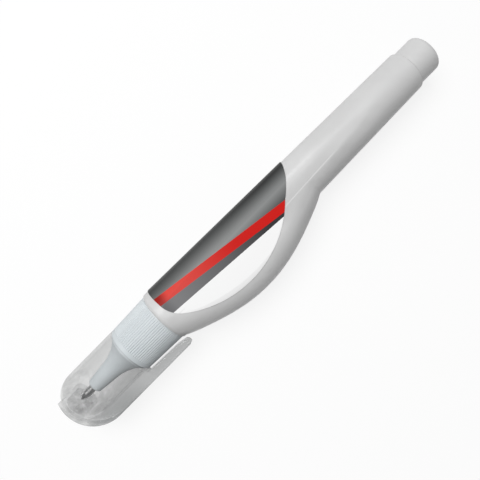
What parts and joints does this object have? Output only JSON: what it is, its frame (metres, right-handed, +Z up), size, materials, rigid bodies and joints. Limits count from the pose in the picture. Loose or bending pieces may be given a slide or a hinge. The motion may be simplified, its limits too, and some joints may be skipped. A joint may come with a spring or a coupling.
{
  "type": "correction pen",
  "caption": "Correction fluid pen: squeezable bottle with a half-moon belly, ribbed nozzle with a sprung metal tip, and a clear pull-off cap with a clip.",
  "frame": {"origin": "bottom centre of the pen's box, on the surface that it lies on", "axes": "+X along the pen from the cap to the tail, belly and clip towards -Y, +Z up through the upper label panel"},
  "size_m": [0.14, 0.0228, 0.016],
  "materials": {
    "bottle_plastic": "satin white moulded polyethylene",
    "label_film": "printed glossy film in dark grey, red and white",
    "nozzle_plastic": "satin bluish white moulded polypropylene",
    "tip_metal": "turned nickel silver",
    "valve_steel": "bright stainless steel",
    "clear_plastic": "clear moulded polypropylene",
    "seal_plastic": "soft translucent elastomer"
  },
  "bodies": {
    "pen_body": {"bottle": "bottle_plastic", "tail_plug": "bottle_plastic", "label": "label_film", "nozzle": "nozzle_plastic", "tip_sleeve": "tip_metal", "spring_seat": "nozzle_plastic", "valve_spring": "valve_steel"},
    "needle": {"valve_needle": "valve_steel"},
    "ball": {"mixing_ball": "valve_steel"},
    "cap_body": {"cap": "clear_plastic", "tip_seal": "seal_plastic"}
  },
  "joints": [
    {"name": "cap_pull", "type": "slide", "parent": "pen_body", "child": "cap_body", "axis": [-1, 0, 0], "range_m": [0, 0.045]},
    {"name": "needle_press", "type": "slide", "parent": "pen_body", "child": "needle", "axis": [1, 0, 0], "range_m": [0, 0.0005], "stiffness_N_per_m": 300, "deforming": ["valve_spring"]},
    {"name": "ball_roll", "type": "slide", "parent": "pen_body", "child": "ball", "axis": [1, 0, 0], "range_m": [-0.08, 0]}
  ]
}
